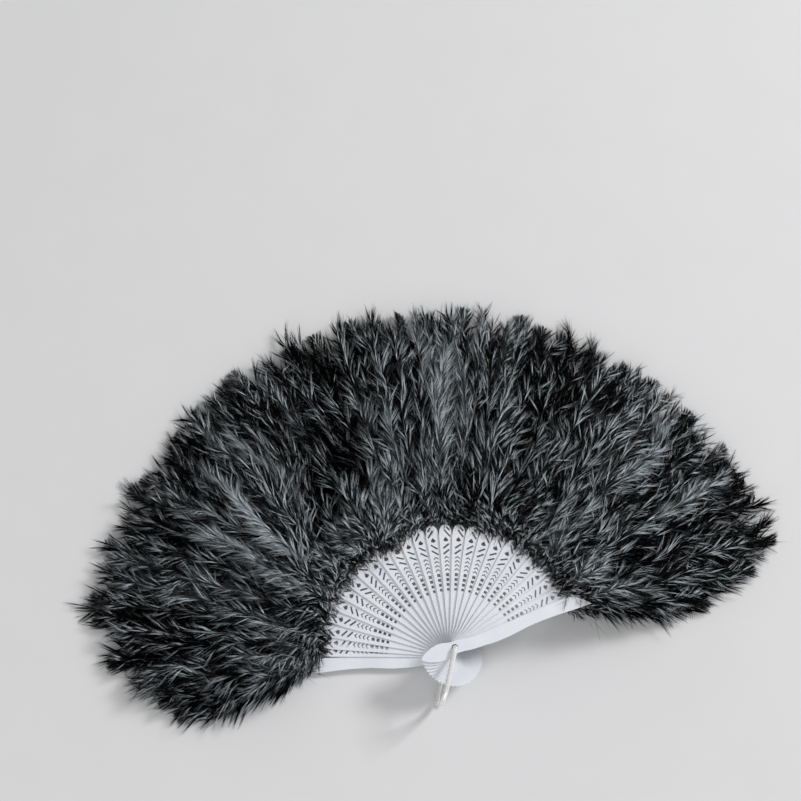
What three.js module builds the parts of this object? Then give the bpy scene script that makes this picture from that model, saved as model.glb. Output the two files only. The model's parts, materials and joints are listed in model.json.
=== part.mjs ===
// Feather folding fan, lying open with its front face up.
// Pierced sticks and two plain guards turn on one bent wire, and each of them carries a feather plume.
// Millimetres and degrees, +Z up, +Y from the pivot up the open fan, Z = 0 on the surface it lies on.
import * as THREE from "three";

// Layers
const STICK_COUNT = 25;
const STICK_THICKNESS = 0.9;
const GUARD_THICKNESS = 1.6;
const LAYER_GAP = 0.3;

// Opening: angles between neighbours in the open fan, whose first sticks lie crowded
const STICK_PITCH = 6.46;
const CROWDED_PITCHES = [7.42, 3.5, 5.5]; // from the back guard up to the third stick
const FRONT_GUARD_TURN = 84; // from +Y, clockwise

// Heads, the rounded ends behind the pivot that sticks and guards share
const HEAD_LENGTH = 25;
const HEAD_WIDTH = 12;
const HEAD_WIDEST_AT = 11;
const HEAD_POINT = 3; // width of the blunt point at the very end
const BOSS_WIDTH = 8.4; // width across the pivot hole
const NECK_AT = 16; // distance from the pivot to the narrowest place

// Sticks
const STICK_REACH = 90; // pivot to rounded tip
const STICK_WIDTH = 9.3;
const STICK_TIP_LENGTH = 8; // rounded part beyond the widest place
const STICK_NECK = 4.4;

// Piercing of each stick, counted inwards from its tip: slots, an eye, slots, chevrons and squares
const SLOT_BAR = 1.2;
const TIP_TO_OUTER_SLOTS = 3.2;
const OUTER_SLOT_SPACING = 3.4;
const OUTER_SLOT_LENGTHS = [3.6, 6.2];
const OUTER_SLOT_ASIDE = [1.9, 1.3]; // from the stick's middle line
const OUTER_SLOT_SLANT = 50;
const OUTER_SLOTS_TO_EYE = 4.6;
const EYE_WIDTH = 3.4;
const EYE_POINT = 2.1; // from its widest place out to its point
const EYE_BASE = 1.3; // from its widest place in to its round base
const EYE_TO_INNER_SLOTS = 4.6;
const INNER_SLOT_COUNT = 2;
const INNER_SLOT_SPACING = 4.1;
const INNER_SLOT_LENGTH = 5.4;
const INNER_SLOT_SLANT = 38;
const SLOTS_TO_CHEVRONS = 4.2;
const CHEVRON_COUNT = 4;
const CHEVRON_SPACING = 2.9;
const CHEVRON_WIDTH = 3.2;
const CHEVRON_RISE = 1.3;
const CHEVRON_BAR = 1;
const CHEVRONS_TO_SQUARES = 3.5;
const SQUARE_SPACING = 3.5;
const SQUARE_SIDES = [2.3, 2.2, 2.1, 1.9];

// Sticks laid with their slots slanting the other way, counted from the back guard
const FLIPPED_STICKS = [5, 6, 8, 9, 15, 16, 17, 18, 19, 20, 22];

// Guards, with a straight side next to the sticks and a waved outer side
const GUARD_OVERHANG = 12.5; // length beyond the sticks' tips
const GUARD_POINT_LENGTH = 17; // slanted end, from the inner side to the outer one
const GUARD_INNER_NECK = 2.5; // half widths, pivot line to edge
const GUARD_INNER_END = 5.6;
const GUARD_OUTER_NECK = 5.6;
const GUARD_OUTER_BULGE = 6.2;
const GUARD_OUTER_BULGE_AT = 29;
const GUARD_OUTER_WAIST = 3.6;
const GUARD_OUTER_WAIST_AT = 66;
const GUARD_OUTER_END = 4.4;

// Pivot wire: a pin through every hole, with two legs that meet in a hanging loop
const WIRE = 3.3;
const WIRE_SIDES = 8;
const WIRE_STEPS = 80;
const PIVOT_CLEARANCE = 0.7; // on the radius
const LOOP_PLAY = 0.5; // slack between each leg and the guard it crosses
const LOOP_DROP = 14.5; // from the heads' ends to the middle of the end bar
const LOOP_DIRECTION = 242;
const LOOP_PIN_BEND = 3;
const LOOP_END_BEND = 13;
const LOOP_NOTCH = 0.8; // gap between the two wire ends

// Plumes: soft feather bunches that start at the stick tips and droop to the surface
const PLUME_SIDE_GAP = 0.5;
const PLUME_ROOT_CLEARANCE = 0.7;
const PLUME_FULL_BY = 20; // length over which a plume opens to its full width
const PLUME_ROOT_ABOVE = 4; // fluff above and below the stick at the root
const PLUME_ROOT_BELOW = 4;
const PLUME_LOFT = 20; // height gained by the middle of the plume
const PLUME_LANDS_AFTER = 75; // length after which its underside lies on the surface
const PLUME_TIP_THICKNESS = 4;
const PLUME_TIP_ROUND = 18; // length of the rounded end
const PLUME_TIP_SHARE = 0.5; // width left at the very end, as a share of the full width

// Reach of the plumes from the pivot; directions are counted from +Y, with left as positive
const RIGHT_REACH = 263;
const LEFT_REACH = 249;
const REACH_CHANGES_WITHIN = 45; // of +Y, to either side
const BACK_ROUND_FROM = 67; // direction past which the outline rounds off
const BACK_ROUNDING = 0.125; // reach lost for each degree squared
const FRONT_ROUND_FROM = -86;
const FRONT_ROUNDING = 0.64;
const BACK_OVERHANG = 10.5; // how far the feathers spread past each guard
const FRONT_OVERHANG = 13.5;
const OVERHANG_DROOP = 0.05; // share of the height lost for each degree past a guard

// Cross-sections of a plume
const PLUME_STATIONS = [0, 0.12, 0.3, 0.5, 0.7, 0.85, 0.95, 1]; // shares of its length
// One side of a section from its underside up, in shares of the half width and the height
const PLUME_SECTION = [
  { across: 0.55, up: 0 },
  { across: 1, up: 0.3 },
  { across: 0.85, up: 0.72 },
  { across: 0.35, up: 1 },
];

// Look
const CURVE_STEPS = 4;
const STICK_COLOUR = 0xe4e7ee;
const PLUME_COLOUR = 0x1c1e20;
const WIRE_COLOUR = 0xdfe0e2;

// Values that follow from the sizes above
const frontStep = STICK_COUNT + 1; // steps count the arms from the back guard, which is step 0
const pitches = Array.from({ length: frontStep }, (_, i) => CROWDED_PITCHES[i] ?? STICK_PITCH);
const openings = [0]; // angle from the back guard to each arm
pitches.forEach((pitch) => openings.push(openings.at(-1) + pitch));
const backGuardTurn = openings.at(-1) - FRONT_GUARD_TURN; // from +Y, with left as positive
const pivotHoleRadius = WIRE / 2 + PIVOT_CLEARANCE;
const stackBottom = WIRE + LOOP_PLAY;
const stickLayer = STICK_THICKNESS + LAYER_GAP;
const firstStickHeight = stackBottom + GUARD_THICKNESS + LAYER_GAP;
const frontGuardHeight = firstStickHeight + STICK_COUNT * stickLayer;
const stackTop = frontGuardHeight + GUARD_THICKNESS;
const stickWidestAt = STICK_REACH - STICK_TIP_LENGTH;
const outerSlotsFrom = STICK_REACH - TIP_TO_OUTER_SLOTS;
const outerSlotsAt = rowInwards(outerSlotsFrom, OUTER_SLOT_LENGTHS.length, OUTER_SLOT_SPACING);
const eyeAt = outerSlotsAt.at(-1) - OUTER_SLOTS_TO_EYE;
const innerSlotsAt = rowInwards(eyeAt - EYE_TO_INNER_SLOTS, INNER_SLOT_COUNT, INNER_SLOT_SPACING);
const chevronsAt = rowInwards(innerSlotsAt.at(-1) - SLOTS_TO_CHEVRONS, CHEVRON_COUNT, CHEVRON_SPACING);
const squaresAt = rowInwards(chevronsAt.at(-1) - CHEVRONS_TO_SQUARES, SQUARE_SIDES.length, SQUARE_SPACING);
const guardReach = STICK_REACH + GUARD_OVERHANG;
const guardInnerEndAt = guardReach - GUARD_POINT_LENGTH;
const loopReach = HEAD_LENGTH + LOOP_DROP;
const guardToStickAtTip = 2 * STICK_REACH * Math.sin(THREE.MathUtils.degToRad(STICK_PITCH / 2));
const plumeRootHalf = guardToStickAtTip - GUARD_INNER_END - PLUME_ROOT_CLEARANCE;

// Places along a stick, from the outermost one towards the pivot.
function rowInwards(first, count, spacing) {
  return Array.from({ length: count }, (_, i) => first - i * spacing);
}

const plastic = () =>
  new THREE.MeshStandardMaterial({ color: STICK_COLOUR, roughness: 0.4, metalness: 0 });
const feather = () =>
  new THREE.MeshStandardMaterial({ color: PLUME_COLOUR, roughness: 0.85, metalness: 0 });
const brightWire = () =>
  new THREE.MeshStandardMaterial({ color: WIRE_COLOUR, roughness: 0.2, metalness: 1 });

// The head's edge on one side, from its point round to the pivot; side is 1 for right and -1 for left.
function headOutward(shape, side) {
  const wide = (side * HEAD_WIDTH) / 2;
  const boss = (side * BOSS_WIDTH) / 2;
  const point = (side * HEAD_POINT) / 2;
  const belly = HEAD_WIDEST_AT / 2;
  shape.bezierCurveTo(point, -HEAD_LENGTH, wide, -HEAD_WIDEST_AT - belly, wide, -HEAD_WIDEST_AT);
  shape.bezierCurveTo(wide, -belly, boss, -BOSS_WIDTH / 2, boss, 0);
}

// The same edge drawn the other way, from the pivot back to the head's point.
function headBack(shape, side) {
  const wide = (side * HEAD_WIDTH) / 2;
  const boss = (side * BOSS_WIDTH) / 2;
  const point = (side * HEAD_POINT) / 2;
  const belly = HEAD_WIDEST_AT / 2;
  shape.bezierCurveTo(boss, -BOSS_WIDTH / 2, wide, -belly, wide, -HEAD_WIDEST_AT);
  shape.bezierCurveTo(wide, -HEAD_WIDEST_AT - belly, point, -HEAD_LENGTH, 0, -HEAD_LENGTH);
}

function pivotHole() {
  return new THREE.Path().absarc(0, 0, pivotHoleRadius, 0, 2 * Math.PI, true);
}

function polygonHole(corners) {
  return new THREE.Path(corners.map(([x, y]) => new THREE.Vector2(x, y)));
}

function squareHole(at, index) {
  const half = SQUARE_SIDES[index] / 2;
  return polygonHole([
    [-half, at - half],
    [half, at - half],
    [half, at + half],
    [-half, at + half],
  ]);
}

// A bent bar whose point looks towards the stick's tip.
function chevronHole(at) {
  const half = CHEVRON_WIDTH / 2;
  return polygonHole([
    [-half, at - CHEVRON_BAR],
    [0, at + CHEVRON_RISE - CHEVRON_BAR],
    [half, at - CHEVRON_BAR],
    [half, at],
    [0, at + CHEVRON_RISE],
    [-half, at],
  ]);
}

// A bar of a given length, aside from the stick's middle line and turned by slant degrees.
function slotHole(at, aside, length, slant) {
  const middle = new THREE.Vector2(aside, at);
  const turn = THREE.MathUtils.degToRad(slant);
  const half = length / 2;
  const bar = SLOT_BAR / 2;
  const corners = [
    [aside - half, at - bar],
    [aside + half, at - bar],
    [aside + half, at + bar],
    [aside - half, at + bar],
  ];
  return new THREE.Path(corners.map(([x, y]) => new THREE.Vector2(x, y).rotateAround(middle, turn)));
}

// A drop with its round base towards the pivot.
function eyeHole() {
  const half = EYE_WIDTH / 2;
  const base = eyeAt - EYE_BASE;
  const eye = new THREE.Path();
  eye.moveTo(0, base);
  eye.quadraticCurveTo(half, base, half, eyeAt);
  eye.lineTo(0, eyeAt + EYE_POINT);
  eye.lineTo(-half, eyeAt);
  eye.quadraticCurveTo(-half, base, 0, base);
  return eye;
}

// A stick points along +Y with its pivot at the origin; flip is 1 or -1 and mirrors its slots.
function stickShape(flip) {
  const shape = new THREE.Shape();
  const wide = STICK_WIDTH / 2;
  const neck = STICK_NECK / 2;
  const boss = BOSS_WIDTH / 2;
  shape.moveTo(0, -HEAD_LENGTH);
  headOutward(shape, 1);
  shape.bezierCurveTo(boss, NECK_AT / 2, neck, NECK_AT / 2, neck, NECK_AT);
  shape.lineTo(wide, stickWidestAt);
  shape.bezierCurveTo(wide, STICK_REACH - wide / 2, wide / 2, STICK_REACH, 0, STICK_REACH);
  shape.bezierCurveTo(-wide / 2, STICK_REACH, -wide, STICK_REACH - wide / 2, -wide, stickWidestAt);
  shape.lineTo(-neck, NECK_AT);
  shape.bezierCurveTo(-neck, NECK_AT / 2, -boss, NECK_AT / 2, -boss, 0);
  headBack(shape, -1);
  shape.holes = [
    pivotHole(),
    ...squaresAt.map(squareHole),
    ...chevronsAt.map(chevronHole),
    ...innerSlotsAt.map((at) => slotHole(at, 0, INNER_SLOT_LENGTH, -flip * INNER_SLOT_SLANT)),
    eyeHole(),
    ...outerSlotsAt.map((at, i) =>
      slotHole(at, -flip * OUTER_SLOT_ASIDE[i], OUTER_SLOT_LENGTHS[i], flip * OUTER_SLOT_SLANT),
    ),
  ];
  return shape;
}

// A guard points along +Y with its waved outer side on the right.
function guardShape() {
  const shape = new THREE.Shape();
  const boss = BOSS_WIDTH / 2;
  const bulge = [GUARD_OUTER_BULGE, GUARD_OUTER_BULGE_AT];
  const waist = [GUARD_OUTER_WAIST, GUARD_OUTER_WAIST_AT];
  const end = [GUARD_OUTER_END, guardReach];
  const neckToBulge = (NECK_AT + GUARD_OUTER_BULGE_AT) / 2;
  const bulgeToWaist = (GUARD_OUTER_BULGE_AT + GUARD_OUTER_WAIST_AT) / 2;
  const waistToEnd = (GUARD_OUTER_WAIST_AT + guardReach) / 2;
  const innerEnd = [-GUARD_INNER_END, guardInnerEndAt];
  const innerEndToPoint = (guardInnerEndAt + guardReach) / 2;
  shape.moveTo(0, -HEAD_LENGTH);
  headOutward(shape, 1);
  shape.bezierCurveTo(boss, NECK_AT / 2, GUARD_OUTER_NECK, NECK_AT / 2, GUARD_OUTER_NECK, NECK_AT);
  shape.bezierCurveTo(GUARD_OUTER_NECK, neckToBulge, bulge[0], neckToBulge, ...bulge);
  shape.bezierCurveTo(bulge[0], bulgeToWaist, waist[0], bulgeToWaist, ...waist);
  shape.bezierCurveTo(waist[0], waistToEnd, end[0], waistToEnd, ...end);
  shape.quadraticCurveTo(innerEnd[0], innerEndToPoint, ...innerEnd);
  shape.lineTo(-GUARD_INNER_NECK, NECK_AT);
  shape.bezierCurveTo(-GUARD_INNER_NECK, NECK_AT / 2, -boss, NECK_AT / 2, -boss, 0);
  headBack(shape, -1);
  shape.holes = [pivotHole()];
  return shape;
}

function plate(shape, thickness) {
  const options = { depth: thickness, bevelEnabled: false, curveSegments: CURVE_STEPS };
  return new THREE.ExtrudeGeometry(shape, options);
}

// A closed skin through rings of equally many points, each ring counter-clockwise seen from the last one.
function loft(rings) {
  const count = rings[0].length;
  const positions = rings.flat().flatMap((point) => point.toArray());
  const faces = [];
  for (let ring = 0; ring + 1 < rings.length; ring++) {
    for (let i = 0; i < count; i++) {
      const a = ring * count + i;
      const b = ring * count + ((i + 1) % count);
      faces.push(a, b, b + count, a, b + count, a + count);
    }
  }
  const last = (rings.length - 1) * count;
  for (let i = 1; i + 1 < count; i++) {
    faces.push(0, i + 1, i, last, last + i, last + i + 1);
  }
  const geometry = new THREE.BufferGeometry();
  geometry.setAttribute("position", new THREE.Float32BufferAttribute(positions, 3));
  geometry.setIndex(faces);
  geometry.computeVertexNormals();
  return geometry;
}

// How far the plumes reach from the pivot in a direction.
function fanReach(turn) {
  const toLeft = THREE.MathUtils.clamp((turn / REACH_CHANGES_WITHIN + 1) / 2, 0, 1);
  const pastBack = Math.max(0, turn - BACK_ROUND_FROM);
  const pastFront = Math.max(0, FRONT_ROUND_FROM - turn);
  const reach = THREE.MathUtils.lerp(RIGHT_REACH, LEFT_REACH, toLeft);
  return reach - BACK_ROUNDING * pastBack ** 2 - FRONT_ROUNDING * pastFront ** 2;
}

// Angle that a plume fills on one side at a distance from the pivot; half is the angle to its neighbour's.
function plumeAngle(along, root, tip, half) {
  const full = half - THREE.MathUtils.radToDeg(PLUME_SIDE_GAP / 2 / along);
  const atRoot = Math.min(THREE.MathUtils.radToDeg(plumeRootHalf / along), full);
  const opened = THREE.MathUtils.smoothstep(along, root, root + PLUME_FULL_BY);
  const intoTip = Math.max(0, 1 - (tip - along) / PLUME_TIP_ROUND);
  const rounded = Math.max(PLUME_TIP_SHARE, Math.sqrt(1 - intoTip * intoTip));
  return THREE.MathUtils.lerp(atRoot, full, opened) * rounded;
}

// A plume points along +Y from the tip of an arm turned by turn degrees: it droops from its layer,
// swells in the middle, and fills the angles leftHalf and rightHalf to either side.
function plume(armReach, layerLow, layerHigh, turn, leftHalf, rightHalf) {
  const root = armReach + LAYER_GAP;
  const sectionPoint = (share, side, half, { across, up }) => {
    const tip = fanReach(turn + side * half * across);
    const along = THREE.MathUtils.lerp(root, tip, share);
    const aside = side * across * plumeAngle(along, root, tip, half);
    const landing = Math.max(0, 1 - (along - root) / PLUME_LANDS_AFTER);
    const low = Math.max(0, layerLow - PLUME_ROOT_BELOW) * landing;
    const slope = (layerHigh + PLUME_ROOT_ABOVE) * (1 - share) ** 2;
    const top = slope + 4 * PLUME_LOFT * share * (1 - share) + PLUME_TIP_THICKNESS * share;
    const past = Math.max(0, turn + aside - backGuardTurn, -FRONT_GUARD_TURN - turn - aside);
    const high = top * (1 - OVERHANG_DROOP * past);
    const angle = THREE.MathUtils.degToRad(aside);
    const height = THREE.MathUtils.lerp(low, high, up);
    return new THREE.Vector3(-along * Math.sin(angle), along * Math.cos(angle), height);
  };
  const rings = PLUME_STATIONS.map((share) => {
    const left = PLUME_SECTION.map((point) => sectionPoint(share, 1, leftHalf, point));
    const right = PLUME_SECTION.map((point) => sectionPoint(share, -1, rightHalf, point));
    return [...left, ...right.reverse()];
  });
  return loft(rings);
}

// The wire's line in its own plane: along +X from the pivot, with Z as height.
function loopPath() {
  const low = WIRE / 2;
  const high = stackTop + LOOP_PLAY + WIRE / 2;
  const middle = (low + high) / 2;
  const at = (x, z) => new THREE.Vector3(x, 0, z);
  const path = new THREE.CurvePath();
  const run = (from, to) => path.add(new THREE.LineCurve3(from, to));
  const bend = (from, corner, to) => path.add(new THREE.QuadraticBezierCurve3(from, corner, to));
  run(at(loopReach, middle - LOOP_NOTCH / 2), at(loopReach, low + LOOP_END_BEND));
  bend(at(loopReach, low + LOOP_END_BEND), at(loopReach, low), at(loopReach - LOOP_END_BEND, low));
  run(at(loopReach - LOOP_END_BEND, low), at(LOOP_PIN_BEND, low));
  bend(at(LOOP_PIN_BEND, low), at(0, low), at(0, low + LOOP_PIN_BEND));
  run(at(0, low + LOOP_PIN_BEND), at(0, high - LOOP_PIN_BEND));
  bend(at(0, high - LOOP_PIN_BEND), at(0, high), at(LOOP_PIN_BEND, high));
  run(at(LOOP_PIN_BEND, high), at(loopReach - LOOP_END_BEND, high));
  bend(at(loopReach - LOOP_END_BEND, high), at(loopReach, high), at(loopReach, high - LOOP_END_BEND));
  run(at(loopReach, high - LOOP_END_BEND), at(loopReach, middle + LOOP_NOTCH / 2));
  return path;
}

function pivotLoop() {
  const section = new THREE.Shape();
  const cornerRadius = WIRE / 2 / Math.cos(Math.PI / WIRE_SIDES);
  for (let i = 0; i < WIRE_SIDES; i++) {
    const angle = ((i + 0.5) * 2 * Math.PI) / WIRE_SIDES;
    const x = cornerRadius * Math.cos(angle);
    const y = cornerRadius * Math.sin(angle);
    if (i === 0) section.moveTo(x, y);
    else section.lineTo(x, y);
  }
  return new THREE.ExtrudeGeometry(section, { extrudePath: loopPath(), steps: WIRE_STEPS });
}

const fan = new THREE.Group();

function addMesh(parent, name, geometry, material, height) {
  const mesh = new THREE.Mesh(geometry, material);
  mesh.name = name;
  mesh.position.z = height;
  parent.add(mesh);
  return mesh;
}

// Turn of an arm from +Y, with left as positive, by its step from the back guard.
function armTurn(step) {
  return backGuardTurn - openings[step];
}

function addArm(step) {
  const arm = new THREE.Group();
  arm.rotation.z = THREE.MathUtils.degToRad(armTurn(step));
  fan.add(arm);
  return arm;
}

// The plume of an arm between the layer heights low and high; step counts from the back guard.
function addPlume(arm, name, armReach, low, high, step) {
  const left = step === 0 ? BACK_OVERHANG : pitches[step - 1] / 2;
  const right = step === frontStep ? FRONT_OVERHANG : pitches[step] / 2;
  addMesh(arm, name, plume(armReach, low, high, armTurn(step), left, right), feather(), 0);
}

const backArm = addArm(0);
const backPlate = plate(guardShape(), GUARD_THICKNESS);
const backGuard = addMesh(backArm, "back_guard", backPlate, plastic(), stackBottom);
backGuard.scale.x = -1; // its waved side is on the left
addPlume(backArm, "back_plume", guardReach, stackBottom, stackBottom + GUARD_THICKNESS, 0);

for (let step = 1; step <= STICK_COUNT; step++) {
  const number = String(step).padStart(2, "0");
  const low = firstStickHeight + (step - 1) * stickLayer;
  const flip = FLIPPED_STICKS.includes(step) ? -1 : 1;
  const arm = addArm(step);
  addMesh(arm, `stick_${number}`, plate(stickShape(flip), STICK_THICKNESS), plastic(), low);
  addPlume(arm, `plume_${number}`, STICK_REACH, low, low + STICK_THICKNESS, step);
}

const frontArm = addArm(frontStep);
addMesh(frontArm, "front_guard", plate(guardShape(), GUARD_THICKNESS), plastic(), frontGuardHeight);
addPlume(frontArm, "front_plume", guardReach, frontGuardHeight, stackTop, frontStep);

const wireTurn = new THREE.Group();
wireTurn.rotation.z = THREE.MathUtils.degToRad(LOOP_DIRECTION);
addMesh(wireTurn, "pivot_loop", pivotLoop(), brightWire(), 0);
fan.add(wireTurn);

// The origin is the middle of the fan's footprint, on the surface it lies on.
const box = new THREE.Box3().setFromObject(fan, true);
const middle = box.getCenter(new THREE.Vector3());
fan.position.set(-middle.x, -middle.y, -box.min.z);

const group = new THREE.Group();
group.add(fan);

export default group;
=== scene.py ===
"""A black feather folding fan lying open: white pierced sticks, a bright wire loop and feather plumes."""
import json
import math
from collections import namedtuple

import bpy
import numpy as np
from mathutils import Euler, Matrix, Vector


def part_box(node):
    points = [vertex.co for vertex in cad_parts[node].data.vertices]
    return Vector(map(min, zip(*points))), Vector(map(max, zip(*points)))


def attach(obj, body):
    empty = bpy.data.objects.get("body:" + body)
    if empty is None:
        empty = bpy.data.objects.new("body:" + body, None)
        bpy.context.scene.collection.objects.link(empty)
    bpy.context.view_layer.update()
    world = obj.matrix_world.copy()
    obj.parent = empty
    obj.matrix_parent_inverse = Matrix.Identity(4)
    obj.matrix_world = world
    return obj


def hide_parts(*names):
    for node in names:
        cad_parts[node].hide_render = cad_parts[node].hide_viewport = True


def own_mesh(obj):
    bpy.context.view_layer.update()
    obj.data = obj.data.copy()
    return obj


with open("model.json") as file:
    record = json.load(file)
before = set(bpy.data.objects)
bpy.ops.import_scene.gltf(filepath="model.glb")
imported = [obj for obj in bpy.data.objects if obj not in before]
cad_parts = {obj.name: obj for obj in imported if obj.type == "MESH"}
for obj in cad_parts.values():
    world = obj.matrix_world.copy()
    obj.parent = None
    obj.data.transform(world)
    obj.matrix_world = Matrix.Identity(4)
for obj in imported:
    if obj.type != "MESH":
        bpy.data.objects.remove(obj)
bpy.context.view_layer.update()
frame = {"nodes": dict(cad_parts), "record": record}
MM = 0.001

# Layout of the arms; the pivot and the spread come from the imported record
JOINTS = {joint["name"]: joint for joint in frame["record"]["behaviour"]["joints"]}
PIVOT = np.array(JOINTS["fold"]["pos_m"]) / MM
SPREAD = JOINTS["fold"]["range_deg"][1]
FRONT_GUARD_TURN = 84.0  # degrees from +Y, clockwise
BACK_GUARD_TURN = SPREAD - FRONT_GUARD_TURN  # degrees from +Y, counter-clockwise
STICK_REACH = 90.0  # mm from the pivot to a stick's tip
GUARD_REACH = 102.5
STICK_PITCH = 6.46  # degrees
EDGE_ROUND = 0.12  # mm
SHARP_EDGE = 50.0  # degrees between two faces, from which their edge is rounded
WELD_GAP = 0.02  # mm

# Camera, light and floor
CAMERA_FROM_PIVOT = (-267.695, -154.658, 1283.794)  # mm
CAMERA_TURN = (17.455, -8.178, -15.450)  # degrees about X, Y and Z
CAMERA_LENS = 83.475  # mm
SENSOR = 36.0
KEY_AT = (2.33, 0.62, 1.98)  # metres, on the right
KEY_SIZE = 0.8
KEY_POWER = 56.0
FILL_AT = (-0.9, -1.1, 1.3)
FILL_SIZE = 1.6
FILL_POWER = 9.0
ROOM_LIGHT = 0.43
FLOOR_SIDE = 8.0
FLOOR_COLOUR = (0.74, 0.74, 0.75)
FLOOR_DIM = 0.985  # brightness of the floor's darker patches

# Reach of the feathers from the pivot, mm; directions are degrees from +Y, counter-clockwise
RIGHT_REACH = 263.0
LEFT_REACH = 249.0
REACH_CHANGES = 45.0  # degrees to either side of +Y
FRONT_ROUND_FROM = -85.0
FRONT_ROUNDING = 4.4  # mm for the first degree, and more for each degree after it
FRONT_ROUND_POWER = 1.3
BACK_ROUND_FROM = 67.0
BACK_ROUNDING = 0.125  # mm for each degree squared
FRONT_OVERHANG = 10.5  # degrees of feathers past the front guard
BACK_OVERHANG = 10.5
OVERHANG_OPENS = 6.0  # mm of reach for each degree that the feathers' roots may lie past a guard

# Height of the feathers
LOFT = 20.0  # mm
ROOT_HEIGHT = 4.0  # over the arm's top
TIP_HEIGHT = 5.0
LOWEST = 0.8  # over the floor
LOWEST_SHAFT = 2.0
HIGHEST = 50.0
EDGE_DROOP = 0.05  # share of the height lost for each degree past a guard
LEAST_HEIGHT = 0.2  # share of the height that is never lost
UP = np.array((0, 0, 1.0))

# One ring of feathers, in mm and degrees. A feather has a length, a half width, locks of barbs that open by
# an angle, a gap from lock to lock, barbs in a lock and their width. Its fluff is the scatter of the locks'
# lift, its vane the share of the shaft with a closed vane, and its tone runs from black to grey. A ring has
# a number of feathers to a stick. Their tips lie at a share of the reach and lean to the sides, and their
# roots and tips lie at a low and a high share of the plume's height.
Ring = namedtuple("Ring", "length half open gap barbs width fluff vane tone feathers tip lean low high",
                  defaults=(1, 0, 0, 0, 0))
EDGE_VANES = Ring(length=80, half=8.0, open=36, gap=1.0, barbs=5, width=0.36, fluff=14, vane=0.34, tone=0.40,
                  feathers=1.4, tip=0.995, lean=1.2, low=0.35, high=0.72)
EDGE_BRUSH = Ring(length=75, half=11.0, open=40, gap=1.1, barbs=3, width=0.36, fluff=20, vane=0.0, tone=0.58,
                  feathers=2.6, tip=0.945, lean=1.0, low=0.45, high=0.82)
# DARK_BRUSH and UNDERLAY lie under the other feathers, and their darker tone is painted shade
DARK_BRUSH = Ring(length=60, half=15.0, open=46, gap=2.4, barbs=4, width=0.70, fluff=24, vane=0.0, tone=0.18,
                  feathers=3.0, tip=0.945, lean=1.0, low=0.35, high=0.55)
UNDERLAY = Ring(length=85, half=15.0, open=42, gap=2.4, barbs=4, width=0.80, fluff=30, vane=0.0, tone=0.14,
                feathers=1.5, tip=0.860, lean=3.0, low=0.30, high=0.50)
TOP = Ring(length=68, half=13.0, open=27, gap=0.85, barbs=3, width=0.38, fluff=22, vane=0.0, tone=0.64,
           feathers=1.6, tip=0.920, lean=3.0, low=0.60, high=1.00)
COLLAR = Ring(length=26, half=9.0, open=34, gap=0.9, barbs=3, width=0.38, fluff=40, vane=0.0, tone=0.64,
              feathers=4.0, tip=0.445, lean=6.0, low=0.85, high=1.02)
TUFT = Ring(length=15, half=6.0, open=40, gap=1.2, barbs=3, width=0.36, fluff=40, vane=0.0, tone=0.66,
            feathers=6, lean=10)
STRAY_VANE = Ring(length=45, half=6.0, open=30, gap=1.0, barbs=5, width=0.36, fluff=14, vane=0.6, tone=0.30)
RINGS = [
    EDGE_VANES,
    EDGE_BRUSH,
    DARK_BRUSH,
    UNDERLAY,
    UNDERLAY._replace(feathers=1.4, tip=0.720, length=80, high=0.55),
    UNDERLAY._replace(feathers=1.4, tip=0.600, length=65, low=0.40, high=0.60),
    TOP,
    TOP._replace(feathers=1.7, tip=0.820, low=0.62),
    TOP._replace(feathers=1.7, tip=0.720, length=66, low=0.66),
    TOP._replace(feathers=1.7, tip=0.620, length=58, low=0.70, fluff=24),
    TOP._replace(feathers=1.8, tip=0.525, length=44, half=12.0, open=29, lean=4.0, low=0.74, fluff=28,
                 tone=0.62),
    COLLAR,
]
EDGE_RINGS = (EDGE_VANES, EDGE_BRUSH, DARK_BRUSH)
HAIRY_RINGS = (EDGE_VANES, EDGE_BRUSH)

# How the feathers of a ring differ
SEED = 1127
PLACES = (0.25, 0.75)  # where a feather stands in its share of the ring
DRIFT_LEAN = 0.8  # how much of a ring's lean follows the drift
LEAN_SCATTER = 0.6
TIPS_PAST = 2.0  # degrees by which tips may leave their arm's share of the fan
ROOTS_APART = 0.9  # share of the feathers' spread that their roots have
ROOT_OVERLAP = 1.0  # mm of an arm's end that lie under the roots
TIP_SCATTER = 0.03  # share of the reach
VANE_TIP_SCATTER = 0.008
LENGTH_SCATTER = 0.07  # share of the length
SHORTEST = 0.6
HEIGHT_SCATTER = 1.5  # mm
ARCH = (2.0, 6.0)
DRIFT_SWAY = 5.0  # mm to the side, with the drift
SWAY_SCATTER = 3.0
LUMPS = 0.16  # share by which the ridges stand higher
# painted light on the ridges that the lumps raise, and painted shade in the hollows between them
RIDGE_PAINTED_LIGHT = 0.33  # how much lighter the feathers are on the ridges
FRONT_DARKER = 0.19  # tone lost towards the front guard
FRONT_DARKENS_FROM = -20.0  # degrees
FRONT_DARKENS_OVER = 40.0

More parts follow.
